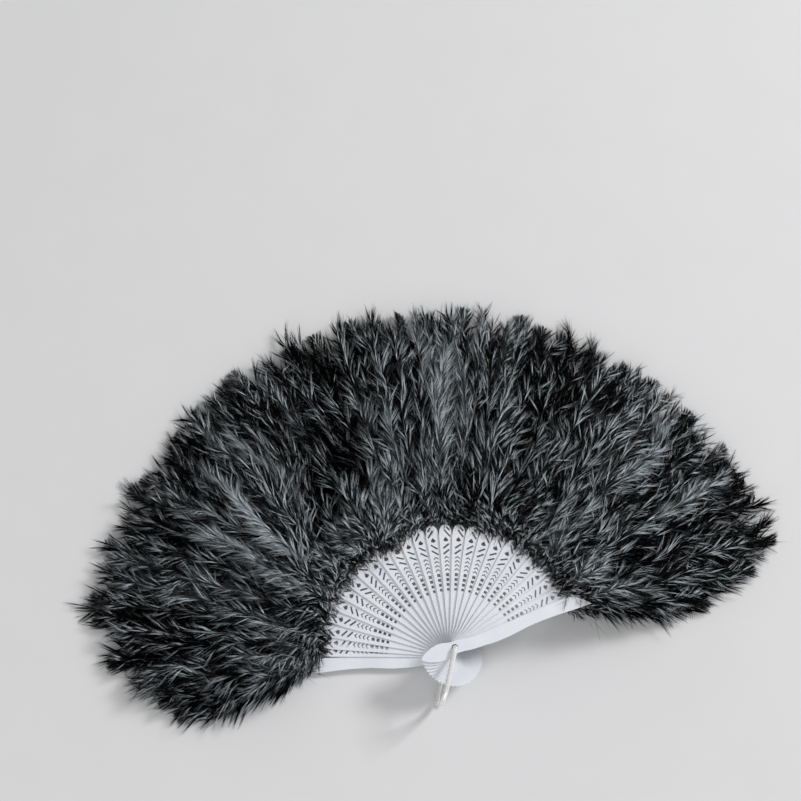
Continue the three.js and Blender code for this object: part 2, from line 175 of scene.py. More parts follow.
# Locks of barbs along a feather; names with VANE are for its closed vane
FEWEST_LOCKS = 3  # on each side of the shaft
LOCKS_SWAPPED = 0.1  # share that lie on the other side
SHAFT_ROLL = 25.0  # degrees
OPENING_SCATTER = 11.0
OPENING_LIMITS = (2.0, 85.0)
LOCK_LIFT = 8.0
VANE_OPENING = 30.0
VANE_SCATTER = 4.0
TIP_OPENING = 0.6  # share of a ring's opening that is left at the tip
VANE_CLOSES = 0.12  # share of the shaft over which the vane closes
LOCK_LENGTH = 1.5  # in half widths of the feather
LOCK_LENGTHS = (0.6, 1.25)
ROOT_LOCKS = 0.6  # share of their length that the locks at the root have
ROOT_LOCKS_END = 0.3  # share of the shaft
TIP_LOCKS = 0.8
TIP_LOCKS_START = 0.6
VANE_LENGTHS = (0.85, 1.08)
VANE_PAST_TIP = 2.5  # mm
VANE_FILL = 0.95  # share of the way to the tip that its barbs may reach
BEND_AT = 0.45  # share of a lock's length
FLOW = 0.3  # how far the locks lean to the side with the drift
EDGE_FLOW = 0.1
CURL = 0.4  # how far they turn towards the tip after the bend
CURL_SCATTER = 0.4
VANE_CURL = 0.2
LOCK_SAG = 0.25
TANGLE = 0.22
LOOSE = 0.7  # mm by which the barbs' ends stray
VANE_LOOSE = 0.25
LOOSE_AT_BEND = 0.2  # share of that at the bend
BEND_WIDTH = 0.6  # share of a lock's width at its bend
END_WIDTH = 0.3

# Lightness of the locks: the locks that catch the light carry a painted sheen, the others stay near black
SHEEN_LOCKS = 0.26  # share of the locks that catch the light
SHEEN_LOCK_TONE = 0.58
LIGHT_LOCK_WIDTH = 0.6  # share of a dark lock's width
DARK_LOCK_TONE = -0.5
LOCK_TONES = 0.1
FEATHER_TONES = 0.14
BARB_TONES = 0.11
# share of the painted sheen that a closed vane keeps
VANE_PAINTED_SHEEN = 0.2
# share of the strands' painted shade and highlight that a closed vane keeps
VANE_SHADE_DEPTH = 0.3

# Shape and tone of single strands
BARB_WIDTHS = (0.7, 1.25)
BARB_THICKNESS = 0.6  # share of its width
BARB_WIDEST = 0.42  # share of its length
# painted shade at a strand's root and tip and a painted highlight at its widest place
BARB_PAINTED_SHADING = (-0.35, 0.05, -0.05)  # tone added at its root, its widest place and its tip
QUILL_WIDTH = 0.8  # mm
QUILL_TONE = 0.5
SKIN_MARGIN = 0.1  # share of a strand's cell in the plume's flat map

# Single barbs that stray: how many, their length in mm, scatter of their direction, and tone
Hairs = namedtuple("Hairs", "count length scatter tone")
EDGE_HAIRS = Hairs(count=8, length=18, scatter=0.3, tone=0.45)
EDGE_HAIRS_AT = 0.85  # share of the shaft
HAIR_WIDTH = 0.15  # mm, half of it
HAIR_WIDTHS = (0.7, 1.3)
HAIR_LENGTHS = (0.5, 1.2)
HAIR_ROOTS = 1.5  # mm by which their roots scatter
HAIR_SCATTER = (1, 1, 0.5)  # to the side, outwards and up
HAIR_CURL = 0.25
HAIR_SAG = 0.15
HAIR_TONES = 0.12
# share of the strands' painted shade and highlight that stray hairs keep
HAIR_SHADE_DEPTH = 0.5
HAIR_GAP = 0.3  # mm over an arm's face

# Fluff over the ends of the arms: how much of an arm's end it covers, in mm
STICK_COVER = 8.0
COVER_OPEN_AT = -10.0  # degrees; here the sticks' ends show
COVER_OPENS = 40.0
THICK_COVER = 10.0  # more where the fluff lies thickest
THICK_COVER_AT = 15.0  # degrees
THICK_COVER_SPREAD = 16.0
BACK_GUARD_COVER = 16.0

# Tufts and single barbs of that fluff, in mm
TUFT_SPREAD = 2.5  # degrees to either side of the arm
TUFT_LENGTHS = (0.7, 1.2)
TUFT_ROOT = 0.4  # over the arm's face
TUFT_RISE = (2.0, 6.0)
TUFT_ARCH = 2.0
TUFT_SWAY = 2.0
COLLAR_HAIRS = Hairs(count=5, length=6, scatter=0.55, tone=0.4)  # length past the cover
COLLAR_HAIRS_AT = (-4, 0, 4)  # to the sides
COLLAR_HAIRS_PAST = 1.0  # past the arm's end
COLLAR_HAIRS_HEIGHT = 2.5
COLLAR_HAIRS_HEADING = (0, -1, -0.15)

# What hangs out at the front guard's end, in mm to the side, outwards and up
STRAY_ROOT = (2.0, -6.0, -4.0)  # from the middle of the guard's end, at its top
STRAY_RUN = (9.0, STRAY_VANE.length, -14.0)
STRAY_SWAY = 2.0
UNDER_HAIRS = Hairs(count=4, length=32, scatter=0.2, tone=0.45)
UNDER_HAIRS_AT = [(3, out, -2) for out in (0.0, 8.0, 20.0, 34.0)]  # from the vane's root
UNDER_HAIRS_HEADING = (0.7, 0.6, -0.5)
UNDER_TUFTS_INWARDS = (0.0, 4.0, 8.0, 13.0, 18.0)
UNDER_TUFT_SIDE = 2.0  # to either side
UNDER_TUFT_OUT = 4.0
UNDER_TUFT_BELOW = 1.0
UNDER_TUFT_RUN = (9, 13, -8)
UNDER_TUFT_ARCH = 1.0
# tone taken off the tufts under the guard's end: painted shade
UNDER_TUFT_PAINTED_SHADE = 0.3
FACE_HAIRS = Hairs(count=3, length=11, scatter=0.35, tone=0.2)
FACE_HAIRS_SIDE = -4.0
FACE_HAIRS_HEIGHT = 1.5
FACE_HAIRS_HEADING = (1, -0.5, 0)

# Slow waves in which the feathers' lean changes, and their ridges rise and take painted light while the
# hollows between take painted shade
WAVES = 6
WAVE_STARTS = 6.28  # radians
LEAN_PACE = (0.08, 0.08)  # radians for each mm across and for each mm outwards
LIGHT_PACE = (0.22, 0.06)

rng = np.random.default_rng(SEED)


def make_waves(pace):
    """Rows of radians for each mm across, for each mm outwards, and at the start."""
    paces = rng.normal(0, pace, (WAVES, 2))
    return np.column_stack((paces, rng.uniform(0, WAVE_STARTS, WAVES)))


DRIFT = [make_waves(LEAN_PACE), make_waves(LIGHT_PACE)]


def mix(first, last, share):
    """What lies at a share of the way from first to last."""
    return first + (last - first) * share


def unit(vectors):
    """The vectors, each with a length of one."""
    return vectors / np.maximum(np.linalg.norm(vectors, axis=-1, keepdims=True), 1e-9)


# Materials

def shared_group(name, inputs, outputs):
    """A node group with number inputs, given as name and value, and outputs, given as name and kind."""
    group = bpy.data.node_groups.new(name, "ShaderNodeTree")
    for label, value in inputs:
        socket = group.interface.new_socket(label, in_out="INPUT", socket_type="NodeSocketFloat")
        socket.default_value = value
    for label, kind in outputs:
        group.interface.new_socket(label, in_out="OUTPUT", socket_type=kind)
    return group, group.nodes.new("NodeGroupInput"), group.nodes.new("NodeGroupOutput")


def group_noise(group, entry):
    """Noise on the piece's own coordinates, at the group's Scale."""
    where = group.nodes.new("ShaderNodeTexCoord")
    noise = group.nodes.new("ShaderNodeTexNoise")
    noise.inputs["Detail"].default_value = 3.0
    group.links.new(where.outputs["Object"], noise.inputs["Vector"])
    group.links.new(entry.outputs["Scale"], noise.inputs["Scale"])
    return noise.outputs["Fac"]


def make_mottle():
    """Soft patches: a value that wanders between Low and High."""
    inputs = [("Scale", 50.0), ("Low", 0.0), ("High", 1.0)]
    group, entry, leave = shared_group("mottle", inputs, [("Value", "NodeSocketFloat")])
    spread = group.nodes.new("ShaderNodeMapRange")
    spread.inputs["From Min"].default_value = 0.3
    spread.inputs["From Max"].default_value = 0.7
    group.links.new(group_noise(group, entry), spread.inputs["Value"])
    group.links.new(entry.outputs["Low"], spread.inputs["To Min"])
    group.links.new(entry.outputs["High"], spread.inputs["To Max"])
    group.links.new(spread.outputs["Result"], leave.inputs["Value"])
    return group


def make_grain():
    """Fine relief of a given Depth in metres."""
    inputs = [("Scale", 2000.0), ("Depth", 0.00005)]
    group, entry, leave = shared_group("grain", inputs, [("Normal", "NodeSocketVector")])
    bump = group.nodes.new("ShaderNodeBump")
    bump.inputs["Strength"].default_value = 0.5
    group.links.new(group_noise(group, entry), bump.inputs["Height"])
    group.links.new(entry.outputs["Depth"], bump.inputs["Distance"])
    group.links.new(bump.outputs["Normal"], leave.inputs["Normal"])
    return group


MOTTLE = make_mottle()
GRAIN = make_grain()


class Finish:
    """A material with a Principled shader, and short ways to feed it."""

    def __init__(self, name):
        self.material = bpy.data.materials.new(name)
        self.material.use_nodes = True
        self.nodes = self.material.node_tree.nodes
        self.links = self.material.node_tree.links
        self.shader = self.nodes["Principled BSDF"]

    def set(self, **values):
        """Sets inputs of the shader; a name has _ for a space."""
        for name, value in values.items():
            self.shader.inputs[name.replace("_", " ")].default_value = value

    def feed(self, output, name):
        """Links an output to an input of the shader."""
        self.links.new(output, self.shader.inputs[name])

    def group(self, tree, **values):
        """Places a node group with its own values, for its output."""
        node = self.nodes.new("ShaderNodeGroup")
        node.node_tree = tree
        for name, value in values.items():
            node.inputs[name].default_value = value
        return node.outputs[0]

    def ramp(self, value, stops):
        """Colours along a value, as place and colour."""
        node = self.nodes.new("ShaderNodeValToRGB")
        while len(node.color_ramp.elements) < len(stops):
            node.color_ramp.elements.new(0.5)
        for element, (place, colour) in zip(node.color_ramp.elements, stops):
            element.position = place
            element.color = (*colour, 1.0)
        self.links.new(value, node.inputs["Fac"])
        return node.outputs["Color"]


def white_plastic():
    """Satin moulded plastic, faintly blue, with soft flow marks and a fine moulded grain."""
    finish = Finish("white_plastic")
    flow = finish.group(MOTTLE, Scale=45.0)
    finish.feed(finish.ramp(flow, [(0.0, (0.76, 0.78, 0.84)), (1.0, (0.83, 0.85, 0.9))]), "Base Color")
    finish.feed(finish.group(MOTTLE, Scale=80.0, Low=0.3, High=0.46), "Roughness")
    finish.feed(finish.group(GRAIN, Scale=2600.0, Depth=0.00003), "Normal")
    finish.set(Subsurface_Weight=0.4, Subsurface_Radius=(1.0, 1.0, 1.0), Subsurface_Scale=1.5 * MM)
    return finish.material


def bright_wire():
    """Bright plated wire with dark specks that are painted dark reflections, and small dents that break up
    its reflections.
    """
    finish = Finish("bright_wire")
    painted_reflection_specks = finish.group(MOTTLE, Scale=300.0)
    # the darkest stop gives the specks: painted dark reflections along the wire
    stops = [(0.0, (0.66, 0.64, 0.58)), (0.15, (0.95, 0.94, 0.91)), (0.5, (0.98, 0.98, 0.97))]
    finish.feed(finish.ramp(painted_reflection_specks, stops), "Base Color")
    finish.feed(finish.group(MOTTLE, Scale=320.0, Low=0.34, High=0.22), "Roughness")
    finish.feed(finish.group(GRAIN, Scale=300.0, Depth=0.00006), "Normal")
    finish.set(Metallic=0.55)
    return finish.material


def black_feather():
    """Dyed black barbs: every lock has its own depth of black, and the locks that catch the light carry a
    painted bluish grey sheen.
    """
    finish = Finish("black_feather")
    tone = finish.nodes.new("ShaderNodeAttribute")
    tone.attribute_name = "tone"
    stops = [
        (0.0, (0.0013, 0.0014, 0.0015)),
        (0.25, (0.0065, 0.0071, 0.0076)),
        (0.5, (0.0265, 0.0295, 0.0315)),
        (0.75, (0.105, 0.118, 0.125)),
        # the top of the ramp is the painted sheen of the lighter locks
        (1.0, (0.6, 0.665, 0.705)),
    ]
    finish.feed(finish.ramp(tone.outputs["Fac"], stops), "Base Color")
    finish.feed(finish.group(MOTTLE, Scale=900.0, Low=0.35, High=0.55), "Roughness")
    finish.set(Specular_IOR_Level=0.03)
    return finish.material


def horn_quill():
    """Shafts of dyed feather: dark horn with paler, browner stretches."""
    finish = Finish("horn_quill")
    patches = finish.group(MOTTLE, Scale=55.0)
    stops = [(0.5, (0.02, 0.02, 0.021)), (0.8, (0.09, 0.075, 0.06)), (1.0, (0.3, 0.22, 0.15))]
    finish.feed(finish.ramp(patches, stops), "Base Color")
    finish.feed(finish.group(MOTTLE, Scale=300.0, Low=0.25, High=0.45), "Roughness")
    return finish.material


# Sticks, guards and wire, carried over from the solids

def dress_solid(name, material, edge):
    """Gives a solid its finish, and a small rounded edge where edge is its radius in mm."""
    piece = frame["nodes"][name]
    piece.data.materials.clear()
    piece.data.materials.append(material)
    weld = piece.modifiers.new("weld", "WELD")
    weld.merge_threshold = WELD_GAP * MM
    if edge:
        bevel = piece.modifiers.new("edge", "BEVEL")
        bevel.width = edge * MM
        bevel.segments = 2
        bevel.limit_method = "ANGLE"
        bevel.angle_limit = math.radians(SHARP_EDGE)


# Barbs and quills

def only_this():
    """Clears the selection, so that operators act on what is made next."""
    if bpy.context.object and bpy.context.object.mode != "OBJECT":
        bpy.ops.object.mode_set(mode="OBJECT")
    bpy.ops.object.select_all(action="DESELECT")


def model_strand(sides, rings):
    """One closed strand along +Z, one long and pointed at both ends; rings are its heights and radii."""
    only_this()
    first, wide = rings[0]
    bpy.ops.mesh.primitive_cone_add(vertices=sides, radius1=0, radius2=wide, depth=first,
                                    end_fill_type="NOTHING", location=(0, 0, first / 2))
    strand = bpy.context.object
    bpy.ops.object.transform_apply()
    bpy.ops.object.mode_set(mode="EDIT")
    bpy.ops.mesh.select_all(action="DESELECT")
    bpy.ops.mesh.select_non_manifold()
    for (height, radius), (next_height, next_radius) in zip(rings, rings[1:] + [(1.0, 0.0)]):
        bpy.ops.mesh.extrude_edges_move(TRANSFORM_OT_translate={"value": (0, 0, next_height - height)})
        share = next_radius / radius
        bpy.ops.transform.resize(value=(share, share, 1))
    bpy.ops.mesh.merge(type="CENTER")
    bpy.ops.mesh.select_all(action="SELECT")
    bpy.ops.mesh.quads_convert_to_tris()
    bpy.ops.mesh.normals_make_consistent(inside=False)
    bpy.ops.object.mode_set(mode="OBJECT")
    points = np.array([vertex.co for vertex in strand.data.vertices])
    faces = np.array([face.vertices for face in strand.data.polygons])
    bpy.data.objects.remove(strand)
    return points, faces, unrolled(points, faces)


def unrolled(points, faces):
    """The strand's skin laid flat in a unit square, for each corner of each face."""
    flat = np.empty(faces.shape + (2,))
    for face, corners in enumerate(faces):
        spots = points[corners]
        angles = np.arctan2(spots[:, 1], spots[:, 0])
        pole = np.hypot(spots[:, 0], spots[:, 1]) < 1e-4
        first = angles[~pole][0]
        turns = (angles - first + math.pi) % (2 * math.pi) - math.pi
        low = first + turns[~pole].min()
        turns = turns + first
        turns[pole] = turns[~pole].mean()
        flat[face, :, 0] = (turns - low + low % (2 * math.pi)) / (2 * math.pi)
        flat[face, :, 1] = spots[:, 2]
    flat[..., 0] -= flat[..., 0].min()
    return flat / np.maximum(flat.max(axis=(0, 1)), 1e-6)


BARB = model_strand(3, [(BARB_WIDEST, 1.0)])
QUILL = model_strand(4, [(0.02, 1.0), (0.25, 0.92), (0.5, 0.8), (0.75, 0.6)])


def along_curve(start, bend, end, share):
    """Where a curve that is drawn towards its bend is at a share of its way."""
    return (1 - share) ** 2 * start + 2 * share * (1 - share) * bend + share ** 2 * end


def sweep(template, lines, width, face, thickness):
    """Copies of a strand along curved lines, each start, bend and end; face is where its flat side looks."""
    points, faces, _ = template
    start, bend, end = lines
    count = len(start)
    placed = np.empty((count, len(points), 3))
    for i, (x, y, share) in enumerate(points):
        heading = unit(mix(bend - start, end - bend, share))
        across = unit(np.cross(heading, face))
        over = np.cross(across, heading)
        line = along_curve(start, bend, end, share)
        placed[:, i] = line + across * (x * width)[:, None] - over * (y * thickness * width)[:, None]
    first = np.arange(count)[:, None, None] * len(points)
    return placed.reshape(-1, 3), (faces[None] + first).reshape(-1, 3)


def drift(turn, along):
    """How far the feathers lean, and how far their ridges rise and take painted light at places: both wander
    slowly over the fan.
    """
    place = np.stack(np.broadcast_arrays(along * np.radians(turn), along, 1.0))
    return [np.sqrt(2 / len(waves)) * np.sin(waves @ place).sum(axis=0) for waves in DRIFT]


class Plume:
    """The barbs and quills of one arm, in mm in the arm's own frame: X clockwise, Y outwards, Z up."""

    def __init__(self, turn):
        self.turn = turn
        self.barbs = []
        self.quills = []

    def add(self, strands, lines, width, face, tone, shade_depth):
        """Adds strands: their lines, half widths, facing, tone, and how strong the painted shade at their
        ends and the painted highlight along them are.
        """
        lines = np.array(lines, float)
        lines[..., 2] = np.clip(lines[..., 2], LOWEST, HIGHEST)
        strands.append((lines, width, face, tone, shade_depth))

    def gathered(self, strands):
        """Strands of one kind, joined: their lines, half widths, facings, tones and depths of painted shade.
        """
        lines, *rest = zip(*strands)
        return [np.concatenate(lines, axis=1)] + [np.concatenate(values) for values in rest]


def lock_swell(along):
    """How long the locks are at shares of the shaft: shorter near its root and its tip."""
    from_root = np.clip(along / ROOT_LOCKS_END, 0, 1)
    to_tip = np.clip((along - TIP_LOCKS_START) / (1 - TIP_LOCKS_START), 0, 1)
    return mix(ROOT_LOCKS, 1.0, from_root) * mix(1.0, TIP_LOCKS, to_tip)


def lay_feather(plume, root, tip, arch, sway, tone, ring):
    """Lays one feather: a curved shaft from root to tip, with locks of barbs on both sides of it."""
    root, tip = np.array(root, float), np.array(tip, float)
    length = np.linalg.norm(tip - root)
    beside = unit(np.cross(tip - root, UP))
    middle = (root + tip) / 2 + (0, 0, arch) + beside * sway

    # Where the locks start, and the feather's own directions there
    count = 2 * max(round(length / ring.gap), FEWEST_LOCKS)
    order = np.arange(count)
    along = ((order + rng.uniform(0, 1, count)) / count)[:, None]
    swapped = rng.uniform(size=count) < LOCKS_SWAPPED
    side = np.where((order % 2 == 1) ^ swapped, 1.0, -1.0)[:, None]
    start = along_curve(root, middle, tip, along)
    ahead = unit(mix(middle - root, tip - middle, along))
    up = unit(UP - ahead * ahead[:, 2:])
    right = np.cross(ahead, up)
    roll = math.radians(rng.normal(0, SHAFT_ROLL))
    up, right = up * math.cos(roll) + right * math.sin(roll), right * math.cos(roll) - up * math.sin(roll)

    # Where they point
    vane = np.zeros_like(along)
    if ring.vane:
        vane = np.clip((along - (1 - ring.vane)) / VANE_CLOSES, 0, 1)
    stray = rng.normal(0, 1, (count, 3))
    opening = mix(ring.open * mix(1.0, TIP_OPENING, along), VANE_OPENING, vane)
    opening = opening + stray[:, :1] * mix(OPENING_SCATTER, VANE_SCATTER, vane)
    opening = np.radians(np.clip(opening, *OPENING_LIMITS))
    lift = np.radians(stray[:, 1:2] * mix(ring.fluff, VANE_SCATTER, vane) + mix(LOCK_LIFT, 0, vane))
    out = ahead * np.cos(opening) + np.sin(opening) * (right * side * np.cos(lift) + up * np.sin(lift))

    # How long they are, and how they bend with the drift
    soft = LOCK_LENGTH * ring.half * lock_swell(along) * rng.uniform(*LOCK_LENGTHS, along.shape)
    to_tip = (1 - along) * length + VANE_PAST_TIP
    flat = np.minimum(ring.half / np.sin(opening), VANE_FILL * to_tip / np.cos(opening))
    reach = mix(soft, flat * rng.uniform(*VANE_LENGTHS, along.shape), vane)
    sag = -LOCK_SAG * UP * rng.uniform(0, 1, along.shape)
    turns = plume.turn - np.degrees(np.arctan2(start[:, 0], start[:, 1]))
    flow = drift(turns, np.hypot(start[:, 0], start[:, 1]))[0]
    push = right * flow[:, None] * (1 - vane) * (EDGE_FLOW if ring in EDGE_RINGS else FLOW)
    out = unit(out + push)
    curl = ahead * mix(CURL + CURL_SCATTER * stray[:, 2:], VANE_CURL, vane) + push
    onward = unit(out + curl + (sag + rng.normal(0, TANGLE, (count, 3))) * (1 - vane))
    bend = start + out * reach * BEND_AT
    end = bend + onward * reach * (1 - BEND_AT)

    # The barbs of each lock
    light = rng.uniform(size=count) < SHEEN_LOCKS
    spread = ring.gap * np.where(light, LIGHT_LOCK_WIDTH, 1.0)[:, None] * np.linspace(-0.5, 0.5, ring.barbs)
    apart = spread[:, :, None] * ahead[:, None]
    loose = mix(LOOSE, VANE_LOOSE, vane)[:, None] * rng.normal(0, 1, (count, ring.barbs, 3))
    lines = (start[:, None] + apart,
             bend[:, None] + apart * mix(BEND_WIDTH, 1.0, vane)[:, None] + loose * LOOSE_AT_BEND,
             end[:, None] + apart * mix(END_WIDTH, 1.0, vane)[:, None] + loose)
    lines = [line.reshape(-1, 3) for line in lines]
    still = vane[:, 0]
    # painted sheen on the locks that catch the light, near black on the others
    painted_sheen = np.where(light, SHEEN_LOCK_TONE, DARK_LOCK_TONE) + rng.normal(0, LOCK_TONES, count)
    tone = tone + rng.normal(0, FEATHER_TONES) + painted_sheen * mix(1.0, VANE_PAINTED_SHEEN, still)
    tone = tone[:, None] + rng.normal(0, BARB_TONES, (count, ring.barbs))
    width = ring.width / 2 * rng.uniform(*BARB_WIDTHS, tone.shape)
    facing = np.repeat(up, ring.barbs, axis=0)
    shade_depth = np.repeat(mix(1.0, VANE_SHADE_DEPTH, still), ring.barbs)
    plume.add(plume.barbs, lines, width.ravel(), facing, tone.ravel(), shade_depth)

    shaft = [point[None] for point in (root, middle, tip)]
    shaft_width = np.array([QUILL_WIDTH / 2])
    plume.add(plume.quills, shaft, shaft_width, UP[None], np.array([QUILL_TONE]), np.zeros(1))


def lay_hairs(plume, root, heading, hairs, lowest=LOWEST):
    """Long thin single barbs that stray from a place in about one direction, and stay over a height."""
    size = (hairs.count, 3)
    heading = unit(unit(np.array(heading, float)) + rng.normal(0, hairs.scatter, size) * HAIR_SCATTER)
    reach = hairs.length * rng.uniform(*HAIR_LENGTHS, (hairs.count, 1))
    start = np.array(root, float) + rng.normal(0, HAIR_ROOTS, size)
    bend = start + heading * reach / 2
    end = bend + unit(heading + rng.normal(0, HAIR_CURL, size) - HAIR_SAG * UP) * reach / 2
    for line in (start, bend, end):
        line[:, 2] = np.maximum(line[:, 2], lowest)
    width = HAIR_WIDTH * rng.uniform(*HAIR_WIDTHS, hairs.count)
    facing = np.tile(UP, (hairs.count, 1))
    tone = hairs.tone + rng.normal(0, HAIR_TONES, hairs.count)
    plume.add(plume.barbs, (start, bend, end), width, facing, tone, np.full(hairs.count, HAIR_SHADE_DEPTH))


# Plumes

def fan_reach(turn):
    """How far the feathers reach from the pivot in a direction."""
    to_left = min(max((turn + REACH_CHANGES) / (2 * REACH_CHANGES), 0), 1)
    past_front = max(0, FRONT_ROUND_FROM - turn)
    past_back = max(0, turn - BACK_ROUND_FROM)
    reach = mix(RIGHT_REACH, LEFT_REACH, to_left)
    return reach - FRONT_ROUNDING * past_front ** FRONT_ROUND_POWER - BACK_ROUNDING * past_back ** 2


def plume_height(along, turn, layer):
    """Height of a plume's top over the floor, at a distance from the pivot."""
    share = min(max((along - STICK_REACH) / (fan_reach(turn) - STICK_REACH), 0), 1)
    past = max(0, turn - BACK_GUARD_TURN, -FRONT_GUARD_TURN - turn)
    top = (layer + ROOT_HEIGHT) * (1 - share) ** 2 + 4 * LOFT * share * (1 - share) + TIP_HEIGHT * share
    return top * max(1 - EDGE_DROOP * past, LEAST_HEIGHT)


def end_turn(place, along, turn):
    """Where an end of a feather lies: feathers past a guard start on the guard and open out from it."""
    free = max(0.0, (along - GUARD_REACH) / OVERHANG_OPENS)
    low = -FRONT_GUARD_TURN - free
    high = BACK_GUARD_TURN + free
    return turn - min(max(turn - place, low), high)


def grow_plume(turn, layer, reach, left, right):
    """All the feathers of one arm, spread over left and right degrees to either side of it."""
    plume = Plume(turn)
    darker = FRONT_DARKER * min(max((FRONT_DARKENS_FROM - turn) / FRONT_DARKENS_OVER, 0), 1)
    for ring in RINGS:
        number = max(round(ring.feathers * (left + right) / STICK_PITCH), 1)
        scatter = VANE_TIP_SCATTER if ring.vane else TIP_SCATTER
        for i in range(number):
            place = mix(-left, right, (i + rng.uniform(*PLACES)) / number)
            swirl, patch = drift(turn - place, ring.tip * fan_reach(turn - place))
            lean = ring.lean * (DRIFT_LEAN * swirl + rng.normal(0, LEAN_SCATTER))
            tip_turn = min(max(place + lean, -left - TIPS_PAST), right + TIPS_PAST)
            tip_at = fan_reach(turn - tip_turn) * ring.tip * rng.normal(1, scatter)
            root_at = max(tip_at - ring.length * rng.normal(1, LENGTH_SCATTER), reach - ROOT_OVERLAP)
            tip_at = max(tip_at, root_at + SHORTEST * ring.length)
            root_turn = place * ROOTS_APART
            ends = []
            for at, aside, share in ((root_at, root_turn, ring.low), (tip_at, tip_turn, ring.high)):
                aside = end_turn(aside, at, turn)
                height = plume_height(at, turn - aside, layer) * share * (1 + LUMPS * patch)
                height = max(height + rng.normal(0, HEIGHT_SCATTER), LOWEST_SHAFT)
                angle = math.radians(aside)
                ends.append((at * math.sin(angle), at * math.cos(angle), height))
            arch = rng.uniform(*ARCH)
            sway = DRIFT_SWAY * swirl + rng.normal(0, SWAY_SCATTER)
            # painted light on the ridges and painted shade in the hollows; the tone also darkens towards the
            # front guard
            tone = ring.tone + RIDGE_PAINTED_LIGHT * patch - darker
            lay_feather(plume, *ends, arch=arch, sway=sway, tone=tone, ring=ring)
            if ring in HAIRY_RINGS:
                root, tip = np.array(ends)
                lay_hairs(plume, mix(root, tip, EDGE_HAIRS_AT), tip - root, EDGE_HAIRS)
    return plume


def stick_cover(turn):
    """How much of a stick's end the fluff covers."""
    cover = STICK_COVER * min(abs(turn - COVER_OPEN_AT) / COVER_OPENS, 1)
    return cover + THICK_COVER * max(1 - abs(turn - THICK_COVER_AT) / THICK_COVER_SPREAD, 0)


def lay_collar(plume, layer, reach, cover):
    """Fluff over the end of an arm: tufts rooted on its face, and thin barbs that stray inwards over it."""
    for _ in range(TUFT.feathers):
        root_at = reach - cover * rng.uniform(0, 1)
        aside = rng.uniform(-TUFT_SPREAD, TUFT_SPREAD)
        lean = math.radians(aside + rng.normal(0, TUFT.lean))
        length = TUFT.length * rng.uniform(*TUFT_LENGTHS)
        root = np.array((root_at * math.sin(math.radians(aside)), root_at, layer + TUFT_ROOT))
        tip = root + (length * math.sin(lean), length * math.cos(lean), rng.uniform(*TUFT_RISE))
        sway = rng.normal(0, TUFT_SWAY)
        lay_feather(plume, root, tip, arch=TUFT_ARCH, sway=sway, tone=TUFT.tone, ring=TUFT)
    hairs = COLLAR_HAIRS._replace(length=cover + COLLAR_HAIRS.length)
    for aside in COLLAR_HAIRS_AT:
        root = (aside, reach + COLLAR_HAIRS_PAST, layer + COLLAR_HAIRS_HEIGHT)
        lay_hairs(plume, root, COLLAR_HAIRS_HEADING, hairs, layer + HAIR_GAP)


def lay_strays(plume, layer):
    """What hangs out under the front guard's end, a dark vane, tufts with painted shade and barbs, and barbs
    on its face.
    """
    root = np.array((0, GUARD_REACH, layer)) + STRAY_ROOT
    tip = root + STRAY_RUN
    lay_feather(plume, root, tip, arch=0, sway=STRAY_SWAY, tone=STRAY_VANE.tone, ring=STRAY_VANE)
    for place in UNDER_HAIRS_AT:
        lay_hairs(plume, root + place, UNDER_HAIRS_HEADING, UNDER_HAIRS)
    # painted shade on the tufts that hang under the guard
    dark = TUFT.tone - UNDER_TUFT_PAINTED_SHADE
    for inwards in UNDER_TUFTS_INWARDS:
        side = rng.uniform(-UNDER_TUFT_SIDE, UNDER_TUFT_SIDE)
        under = root + (side, UNDER_TUFT_OUT - inwards, -UNDER_TUFT_BELOW)
        sway = rng.normal(0, TUFT_SWAY)
        tip = under + UNDER_TUFT_RUN
        lay_feather(plume, under, tip, arch=UNDER_TUFT_ARCH, sway=sway, tone=dark, ring=TUFT)
        over = (FACE_HAIRS_SIDE, GUARD_REACH - inwards, layer + FACE_HAIRS_HEIGHT)
        lay_hairs(plume, over, FACE_HAIRS_HEADING, FACE_HAIRS, layer + HAIR_GAP)


def painted_shading(height):
    """Painted shade and highlight along a strand: how much lighter or darker it is at a share of its length.
    """
    return np.interp(height, [0, BARB_WIDEST, 1], BARB_PAINTED_SHADING)


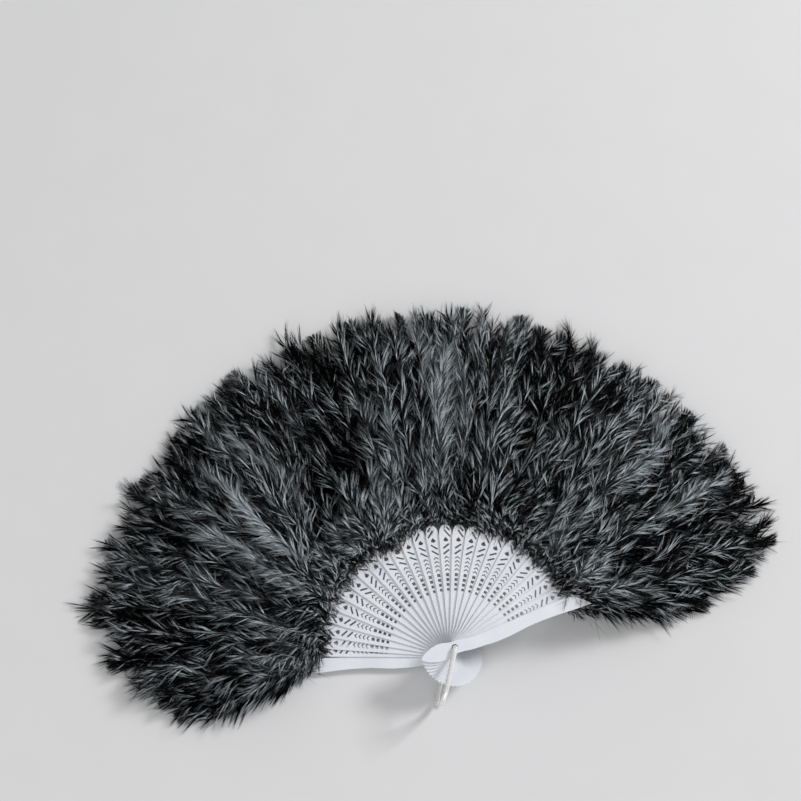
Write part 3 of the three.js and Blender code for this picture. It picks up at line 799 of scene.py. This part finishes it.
def finish_plume(plume, name, materials):
    """Joins a plume's barbs and quills into one mesh at its place in the fan."""
    points, faces, tones, slots, maps, total = [], [], [], [], [], 0
    strands = sum(len(group[1]) for group in plume.barbs + plume.quills)
    columns = math.ceil(math.sqrt(strands))
    cell = 0
    for slot, (template, group, thickness) in enumerate(
            ((BARB, plume.barbs, BARB_THICKNESS), (QUILL, plume.quills, 1.0))):
        lines, width, face, tone, shade_depth = plume.gathered(group)
        placed, joined = sweep(template, lines, width, face, thickness)
        points.append(placed)
        faces.append(joined + total)
        # each strand's tone, with painted shade at its root and tip and a painted highlight at its widest
        # place
        shade = tone[:, None] + shade_depth[:, None] * painted_shading(template[0][:, 2])[None]
        tones.append(np.clip(shade, 0, 1).ravel())
        slots.append(np.full(len(joined), slot))
        numbers = cell + np.arange(len(width))
        corner = np.stack((numbers % columns, numbers // columns), axis=1)[:, None, None]
        skin = (1 - 2 * SKIN_MARGIN) * template[2][None]
        maps.append(((corner + SKIN_MARGIN + skin) / columns).reshape(-1, 2))
        total += len(placed)
        cell += len(width)
    cosine, sine = math.cos(math.radians(plume.turn)), math.sin(math.radians(plume.turn))
    swing = np.array([[cosine, -sine, 0], [sine, cosine, 0], [0, 0, 1]])
    points = (np.concatenate(points) @ swing.T + PIVOT) * MM
    faces = np.concatenate(faces)

    mesh = bpy.data.meshes.new(name)
    mesh.vertices.add(len(points))
    mesh.vertices.foreach_set("co", points.astype(np.float32).ravel())
    mesh.loops.add(faces.size)
    mesh.loops.foreach_set("vertex_index", faces.astype(np.int32).ravel())
    mesh.polygons.add(len(faces))
    mesh.polygons.foreach_set("loop_start", np.arange(0, faces.size, 3, dtype=np.int32))
    mesh.polygons.foreach_set("use_smooth", np.ones(len(faces), bool))
    mesh.polygons.foreach_set("material_index", np.concatenate(slots).astype(np.int32))
    for material in materials:
        mesh.materials.append(material)
    shade = mesh.attributes.new("tone", "FLOAT", "POINT")
    shade.data.foreach_set("value", np.concatenate(tones).astype(np.float32))
    sheet = mesh.uv_layers.new(name="OFBake")
    sheet.data.foreach_set("uv", np.concatenate(maps).astype(np.float32).ravel())
    mesh.update()
    piece = bpy.data.objects.new(name, mesh)
    bpy.context.scene.collection.objects.link(piece)
    return piece


# The fan

def arms():
    """Each arm's node, its plume's node and its turn, from the back guard to the front one."""
    links = frame["record"]["behaviour"]["couplings"]
    shares = {link["joint"].removesuffix("_fold"): link["ratio"] for link in links}
    rows = [("back_guard", "back_plume", BACK_GUARD_TURN)]
    for stick, share in sorted(shares.items()):
        rows.append((stick, stick.replace("stick", "plume"), BACK_GUARD_TURN - SPREAD * share))
    rows.append(("front_guard", "front_plume", -FRONT_GUARD_TURN))
    return rows


def build_fan():
    """Dresses the arms and the wire, and grows a plume on each arm in place of its solid one."""
    plastic, wire = white_plastic(), bright_wire()
    feathers = [black_feather(), horn_quill()]
    rows = arms()
    turns = [BACK_GUARD_TURN + 2 * BACK_OVERHANG] + [turn for _, _, turn in rows]
    turns.append(-FRONT_GUARD_TURN - 2 * FRONT_OVERHANG)
    for i, (arm, solid, turn) in enumerate(rows):
        dress_solid(arm, plastic, EDGE_ROUND)
        low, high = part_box(arm)
        left, right = (turns[i] - turn) / 2, (turn - turns[i + 2]) / 2
        reach = GUARD_REACH if "guard" in arm else STICK_REACH
        layer = high[2] / MM
        plume = grow_plume(turn, layer, reach, left, right)
        if arm == "front_guard":
            lay_strays(plume, layer)
        else:
            cover = BACK_GUARD_COVER if arm == "back_guard" else stick_cover(turn)
            lay_collar(plume, layer, reach, cover)
        piece = finish_plume(plume, solid.replace("plume", "feathers"), feathers)
        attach(piece, arm)
        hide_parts(solid)
        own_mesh(piece)
    dress_solid("pivot_loop", wire, 0)


# Stage

def lay_floor():
    """A pale floor with faint clouds."""
    only_this()
    bpy.ops.mesh.primitive_plane_add(size=FLOOR_SIDE)
    floor = bpy.context.object
    floor.name = "floor"
    finish = Finish("pale_floor")
    clouds = finish.group(MOTTLE, Scale=25.0)
    dim = [channel * FLOOR_DIM for channel in FLOOR_COLOUR]
    finish.feed(finish.ramp(clouds, [(0.0, dim), (1.0, FLOOR_COLOUR)]), "Base Color")
    finish.set(Roughness=0.85)
    floor.data.materials.append(finish.material)


def hang_softbox(name, at, size, power):
    """A square lamp that looks at the middle of the fan."""
    lamp = bpy.data.lights.new(name, "AREA")
    lamp.size = size
    lamp.energy = power
    made = bpy.data.objects.new(name, lamp)
    made.location = at
    made.rotation_euler = (-Vector(at)).to_track_quat("-Z", "Y").to_euler()
    bpy.context.scene.collection.objects.link(made)


def set_stage():
    """The floor, two lamps, even room light and the camera."""
    lay_floor()
    hang_softbox("key", KEY_AT, KEY_SIZE, KEY_POWER)
    hang_softbox("fill", FILL_AT, FILL_SIZE, FILL_POWER)
    world = bpy.data.worlds.new("studio")
    world.use_nodes = True
    world.node_tree.nodes["Background"].inputs["Color"].default_value = (1.0, 1.0, 1.0, 1.0)
    world.node_tree.nodes["Background"].inputs["Strength"].default_value = ROOM_LIGHT
    bpy.context.scene.world = world
    camera = bpy.data.objects.new("camera", bpy.data.cameras.new("camera"))
    camera.location = Vector(PIVOT + CAMERA_FROM_PIVOT) * MM
    camera.rotation_euler = Euler([math.radians(angle) for angle in CAMERA_TURN])
    camera.data.lens = CAMERA_LENS
    camera.data.sensor_width = SENSOR
    bpy.context.scene.collection.objects.link(camera)
    bpy.context.scene.camera = camera
    bpy.context.scene.view_settings.view_transform = "Standard"


build_fan()
set_stage()
